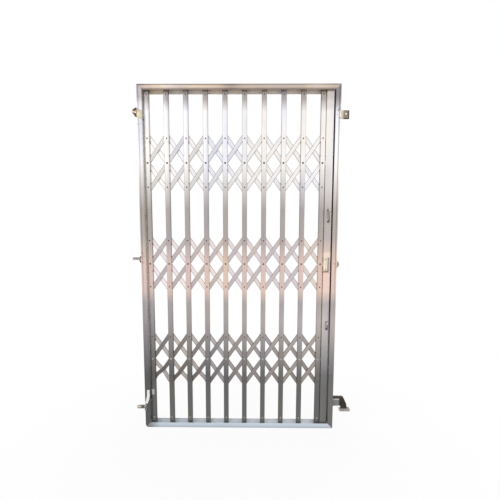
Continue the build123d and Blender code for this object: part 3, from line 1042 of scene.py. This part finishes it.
def make_lock_plate(colours):
    """A rimmed plate with a keyhole and two screws."""
    low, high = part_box("lock_case")
    middle = (low + high) / 2
    plate = block("lock_plate", low, high)
    soften(plate, PLATE_CORNER, 3, lambda a, b: abs(a.y - b.y) > 0.004)
    select(plate, "FACE", lambda centre, normal: normal.y < -0.9)
    bpy.ops.mesh.inset(thickness=PLATE_RIM)
    bpy.ops.mesh.inset(thickness=PLATE_SLOPE, depth=-PLATE_DROP)
    leave_edit()
    mouth, floor = low.y - 0.002, high.y - 0.0005
    left, right = middle.x - KEY_HALF, middle.x + KEY_HALF
    bore = rod_along_y("bore", KEY_BORE, mouth, floor, middle.x, middle.z)
    slot = block("slot", (left, mouth, middle.z - KEY_DROP), (right, floor, middle.z))
    for cutter in (bore, slot):
        modified(plate, "BOOLEAN", operation="DIFFERENCE", solver="EXACT", object=cutter)
    discard(bore, slot)
    if not plate.data.polygons:
        raise RuntimeError("the keyhole's cut left nothing of the lock plate")
    break_edges(plate, 0.00008)
    fit_piece(plate, lock_finish(colours), "lock_stile_leaf", "lock_brass", "lock_case")
    screws = []
    for z in (low.z + SCREW_INSET, high.z - SCREW_INSET):
        screw = rod_along_y("screw", SCREW_RADIUS, low.y + 0.0002, low.y + 0.0020, middle.x, z, 20)
        soften(screw, 0.0008, 2, lambda a, b: a.y < low.y + 0.0003 and b.y < low.y + 0.0003)
        screws.append(screw)
    piece = joined("lock_plate_screws", screws)
    fit_piece(piece, rivet_finish(colours), "lock_stile_leaf", "rivet_steel")


def bow(name, node, rod):
    """A round rod bent into a bow, swept by extruding and spinning its end."""
    low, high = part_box(node)
    x = middle_of(node)
    base = high.y
    bend = (base - low.y) * 0.45
    top, bottom, crest = high.z - PULL_ROOT, low.z + PULL_ROOT, low.y + rod
    clear_selection()
    bpy.ops.mesh.primitive_circle_add(
        vertices=16, radius=rod, fill_type="NGON", location=(x, base, top), rotation=(math.pi / 2, 0, 0))
    obj = added(name)
    bpy.ops.object.mode_set(mode="EDIT")
    bpy.ops.mesh.select_all(action="SELECT")
    middle = crest + bend
    bpy.ops.mesh.extrude_region_move(TRANSFORM_OT_translate={"value": (0, middle - base, 0)})
    bpy.ops.mesh.spin(steps=8, angle=-math.pi / 2, center=(x, middle, top - bend), axis=(1, 0, 0))
    bpy.ops.mesh.extrude_region_move(TRANSFORM_OT_translate={"value": (0, 0, bottom - top + 2 * bend)})
    bpy.ops.mesh.spin(steps=8, angle=-math.pi / 2, center=(x, middle, bottom + bend), axis=(1, 0, 0))
    bpy.ops.mesh.extrude_region_move(TRANSFORM_OT_translate={"value": (0, base - middle, 0)})
    bpy.ops.mesh.select_all(action="SELECT")
    bpy.ops.mesh.remove_doubles(threshold=TOUCH)
    bpy.ops.mesh.normals_make_consistent(inside=False)
    leave_edit()
    return obj


def make_pulls(sizes, colours):
    """The two bow pulls on the lock stile, each on a pair of turned roses."""
    finish = pull_finish(colours)
    for node in ("upper_pull", "lower_pull"):
        low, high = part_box(node)
        x = middle_of(node)
        parts = [bow(f"{node}_bow", node, sizes.pull_rod)]
        for z in (low.z + PULL_ROOT, high.z - PULL_ROOT):
            rose = rod_along_y("rose", PULL_ROOT, high.y - ROSE_DEPTH, high.y, x, z)
            crown = high.y - ROSE_DEPTH + 0.0001
            soften(rose, 0.0014, 3, lambda a, b: a.y < crown and b.y < crown)
            parts.append(rose)
        piece = joined(f"{node}_bow", parts)
        fit_piece(piece, finish, "lock_stile_leaf", "rivet_steel", node)


def make_hold_fasts(colours):
    """The six lugs on the jambs, forged a little soft at their edges."""
    grey, stain_and_shadow, painted_shade, taupe = colours.hold_fast, colours.stain_and_shadow, colours.painted_shade, colours.taupe
    tan, bronze, cream, umber = colours.tan, colours.bronze, colours.cream, colours.umber
    chalk, iron, painted_highlight = colours.chalk, colours.iron, colours.painted_highlight
    # Each patch: its tone, then by axis (0 is X, 2 is Z) where it starts and where it is full.
    strap = (0, -0.6115, -0.6085)
    looks = {
        # A tan band across the lug is a painted highlight.
        "left_hold_fast_upper": (bronze, (
            (tan, (2, 1.981, 1.984), (2, 1.995, 1.992), (0, -0.653, -0.648), (0, -0.616, -0.620)),
            (tan, strap), (cream, strap, (2, 1.984, 1.962)))),
        # Painted shade near its top and bottom edges.
        "left_hold_fast_middle": (grey, (
            (umber, (2, 1.106, 1.113)), (umber, (2, 1.086, 1.079)),
            (painted_shade, (2, 1.104, 1.110), (0, -0.637, -0.631)),
            (painted_shade, (2, 1.088, 1.082), (0, -0.637, -0.631)))),
        # Painted shade above the arm.
        "left_hold_fast_lower": (grey, (
            (iron, (2, 0.119, 0.116)), (umber, (0, -0.650, -0.640), (0, -0.622, -0.630)),
            (iron, (0, -0.618, -0.612), (2, 0.138, 0.134)),
            (chalk, (0, -0.612, -0.608), (2, 0.136, 0.139)),
            (painted_shade, (2, 0.150, 0.154), (2, 0.168, 0.162), (0, -0.610, -0.604)),
            (chalk, (2, 0.158, 0.164)))),
        # Its cream inner part is a painted highlight, with painted shade on its right and lower edges.
        "right_hold_fast_upper": (cream, (
            (taupe, (0, 0.622, 0.640)), (painted_shade, (0, 0.656, 0.664)),
            (painted_shade, (0, 0.628, 0.640), (2, 1.952, 1.947)))),
        "right_hold_fast_middle": (grey, ((tan, (0, 0.618, 0.610)),)),
        # A painted highlight along the arm's top, with painted shade above it and on its outer end.
        "right_hold_fast_lower": (iron, (
            (painted_highlight, (2, 0.186, 0.188), (2, 0.194, 0.192)), (painted_shade, (2, 0.195, 0.199)),
            (painted_shade, (0, 0.648, 0.658)), (grey, (2, 0.130, 0.124)))),
    }
    for node, (main, patches) in looks.items():
        piece = copy_of_node(node, f"{node}_lug")
        break_edges(piece, 0.0009, 2, 35)
        finish = hold_fast_finish(f"{node}_finish", main, patches, stain_and_shadow)
        fit_piece(piece, finish, "frame", "bracket_steel", node)


def make_welds():
    """Beads where the hold-fasts meet the jambs."""
    left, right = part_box("left_jamb")[0].x - BEAD_SINK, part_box("right_jamb")[1].x + BEAD_SINK
    runs = [(left, *run) for run in LEFT_RUNS] + [(right, *run) for run in RIGHT_RUNS]
    beads = []
    for index, (x, top, bottom, offset) in enumerate(runs):
        for side in (-1, 1):
            name = f"run_{index}_{side}"
            beads.append(weld_run(name, (x, side * offset, bottom), (x, side * offset, top), BEAD))
    piece = joined("hold_fast_welds", beads)
    fit_piece(piece, weld_finish(), "frame", "bracket_steel")


# Studio

FLOOR_SIZE = 30
# Each lamp's place, the point it faces, its size and its power.
LAMPS = {
    "key_light": ((-2.6, -2.6, 3.4), (0, 0, 1.1), 2.6, 16),
    "fill_light": ((2.8, -2.2, 1.8), (0, 0, 1.0), 2.4, 7),
    "back_light": ((0.6, 2.4, 3.2), (0, 0, 1.0), 2.4, 12),
}
CAMERA_PLACE = (0.0884, -2.0278, 1.1146)
CAMERA_PITCH, CAMERA_YAW, CAMERA_ROLL = math.radians(5.37), math.radians(-0.506), math.radians(0.158)
SENSOR, LENS, SHIFT = 36, 23.04, 0.0734


def ray_share(finish):
    """One where the camera or a reflection looks, and nought where light is gathered."""
    node = finish.tree.nodes.new("ShaderNodeLightPath")
    names = ("Is Camera Ray", "Is Glossy Ray", "Is Transmission Ray")
    rays = [Knob(finish, node.outputs[name]) for name in names]
    return finish.node("ShaderNodeClamp", values={0: rays[0] + rays[1] + rays[2]})


def make_floor():
    clear_selection()
    bpy.ops.mesh.primitive_plane_add(size=FLOOR_SIZE, location=(0, 0, 0))
    floor = bpy.context.active_object
    floor.name = "studio_floor"
    finish = Finish("studio_floor")
    away = finish.node(
        "ShaderNodeVectorMath", {"operation": "LENGTH"}, {0: finish.place()}, output="Value")
    share = finish.step(away, 0.5, 1.9, 0.90, 1.0)
    paper = finish.node("ShaderNodeBsdfDiffuse", values={"Color": (0.95, 0.95, 0.95, 1.0)})
    glow = finish.node("ShaderNodeEmission", values={"Color": (1, 1, 1, 1), "Strength": 1.0})
    surface = finish.node("ShaderNodeMixShader", values={0: ray_share(finish) * share, 1: paper, 2: glow})
    finish.node("ShaderNodeOutputMaterial", values={"Surface": surface})
    coat(floor, finish.owner)


def make_world():
    world = bpy.data.worlds.new("studio_world")
    bpy.context.scene.world = world
    finish = Finish("studio_world", world)
    soft = finish.node("ShaderNodeBackground", values={"Color": (1, 1, 1, 1), "Strength": 0.8})
    white = finish.node("ShaderNodeBackground", values={"Color": (1, 1, 1, 1), "Strength": 1.0})
    surface = finish.node("ShaderNodeMixShader", values={0: ray_share(finish), 1: soft, 2: white})
    finish.node("ShaderNodeOutputWorld", values={"Surface": surface})


def softbox(name, place, target, size, power):
    clear_selection()
    bpy.ops.object.light_add(type="AREA", location=place)
    lamp = bpy.context.active_object
    lamp.name = name
    lamp.data.size = size
    lamp.data.energy = power
    lamp.rotation_euler = (Vector(target) - Vector(place)).to_track_quat("-Z", "Y").to_euler()


def make_camera():
    pitch, yaw, roll = CAMERA_PITCH, CAMERA_YAW, CAMERA_ROLL
    forward = Vector((math.sin(yaw) * math.cos(pitch), math.cos(yaw) * math.cos(pitch), -math.sin(pitch)))
    right = forward.cross(Vector((0, 0, 1))).normalized()
    up = right.cross(forward)
    turned_right = right * math.cos(roll) + up * math.sin(roll)
    turned_up = up * math.cos(roll) - right * math.sin(roll)
    clear_selection()
    bpy.ops.object.camera_add(location=CAMERA_PLACE)
    camera = bpy.context.active_object
    camera.name = "studio_camera"
    matrix = Matrix((turned_right, turned_up, -forward)).transposed().to_4x4()
    matrix.translation = CAMERA_PLACE
    camera.matrix_world = matrix
    camera.data.sensor_width = SENSOR
    camera.data.lens = LENS
    camera.data.shift_y = SHIFT
    bpy.context.scene.camera = camera


# Operators and panel


class GatePicketChannels(bpy.types.Operator):
    """Model the folded channels of the ten pickets"""

    bl_idname = "gate.picket_channels"
    bl_label = "Picket channels"

    def execute(self, context):
        make_picket_channels(context.scene.gate_sizes, context.scene.gate_colours)
        return {"FINISHED"}


class GateFittings(bpy.types.Operator):
    """Model the rivets, collars, rollers and guide shoes"""

    bl_idname = "gate.fittings"
    bl_label = "Rivets and rollers"

    def execute(self, context):
        make_fittings(context.scene.gate_sizes, context.scene.gate_colours)
        return {"FINISHED"}


class GateLattice(bpy.types.Operator):
    """Model the three bands of crossing flats"""

    bl_idname = "gate.lattice"
    bl_label = "Lattice flats"

    def execute(self, context):
        make_lattice(context.scene.gate_sizes, context.scene.gate_colours)
        return {"FINISHED"}


class GateFrame(bpy.types.Operator):
    """Model the four channels of the frame"""

    bl_idname = "gate.frame_channels"
    bl_label = "Frame channels"

    def execute(self, context):
        make_frame(context.scene.gate_sizes, context.scene.gate_colours)
        return {"FINISHED"}


class GateLockStile(bpy.types.Operator):
    """Model the lock stile and its spacers"""

    bl_idname = "gate.lock_stile"
    bl_label = "Lock stile"

    def execute(self, context):
        make_lock_stile(context.scene.gate_sizes, context.scene.gate_colours)
        return {"FINISHED"}


class GateLockPlate(bpy.types.Operator):
    """Model the lock plate and its screws"""

    bl_idname = "gate.lock_plate"
    bl_label = "Lock plate"

    def execute(self, context):
        make_lock_plate(context.scene.gate_colours)
        return {"FINISHED"}


class GatePulls(bpy.types.Operator):
    """Model the two pulls on the lock stile"""

    bl_idname = "gate.pulls"
    bl_label = "Pulls"

    def execute(self, context):
        make_pulls(context.scene.gate_sizes, context.scene.gate_colours)
        return {"FINISHED"}


class GateHoldFasts(bpy.types.Operator):
    """Model the six hold-fasts on the jambs"""

    bl_idname = "gate.hold_fasts"
    bl_label = "Hold-fasts"

    def execute(self, context):
        make_hold_fasts(context.scene.gate_colours)
        return {"FINISHED"}


class GateWelds(bpy.types.Operator):
    """Model the weld beads at the hold-fasts"""

    bl_idname = "gate.welds"
    bl_label = "Welds"

    def execute(self, context):
        make_welds()
        return {"FINISHED"}


class GateStudio(bpy.types.Operator):
    """Set up the floor, light and camera"""

    bl_idname = "gate.studio"
    bl_label = "Studio"

    def execute(self, context):
        make_floor()
        make_world()
        for name, settings in LAMPS.items():
            softbox(name, *settings)
        make_camera()
        context.scene.view_settings.view_transform = "Standard"
        return {"FINISHED"}


STEPS = (
    GateFrame, GatePicketChannels, GateFittings, GateLattice, GateLockStile, GateLockPlate, GatePulls,
    GateHoldFasts, GateWelds, GateStudio,
)


class GatePanel(bpy.types.Panel):
    """The gate's sizes, colours and steps in the sidebar"""

    bl_idname = "VIEW3D_PT_gate"
    bl_label = "Collapsible gate"
    bl_space_type = "VIEW_3D"
    bl_region_type = "UI"
    bl_category = "Gate"

    def draw(self, context):
        layout = self.layout
        for group in (context.scene.gate_sizes, context.scene.gate_colours):
            box = layout.box()
            for name in group.__annotations__:
                box.prop(group, name)
        for step in STEPS:
            layout.operator(step.bl_idname)


CLASSES = (GateSizes, GateColours, *STEPS, GatePanel)


def register():
    for item in CLASSES:
        bpy.utils.register_class(item)
    bpy.types.Scene.gate_sizes = bpy.props.PointerProperty(type=GateSizes)
    bpy.types.Scene.gate_colours = bpy.props.PointerProperty(type=GateColours)


def unregister():
    del bpy.types.Scene.gate_colours
    del bpy.types.Scene.gate_sizes
    for item in reversed(CLASSES):
        bpy.utils.unregister_class(item)


def main():
    register()
    bpy.ops.gate.frame_channels()
    bpy.ops.gate.picket_channels()
    bpy.ops.gate.fittings()
    bpy.ops.gate.lattice()
    bpy.ops.gate.lock_stile()
    bpy.ops.gate.lock_plate()
    bpy.ops.gate.pulls()
    bpy.ops.gate.hold_fasts()
    bpy.ops.gate.welds()
    bpy.ops.gate.studio()
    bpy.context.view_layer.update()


if __name__ == "__main__":
    main()
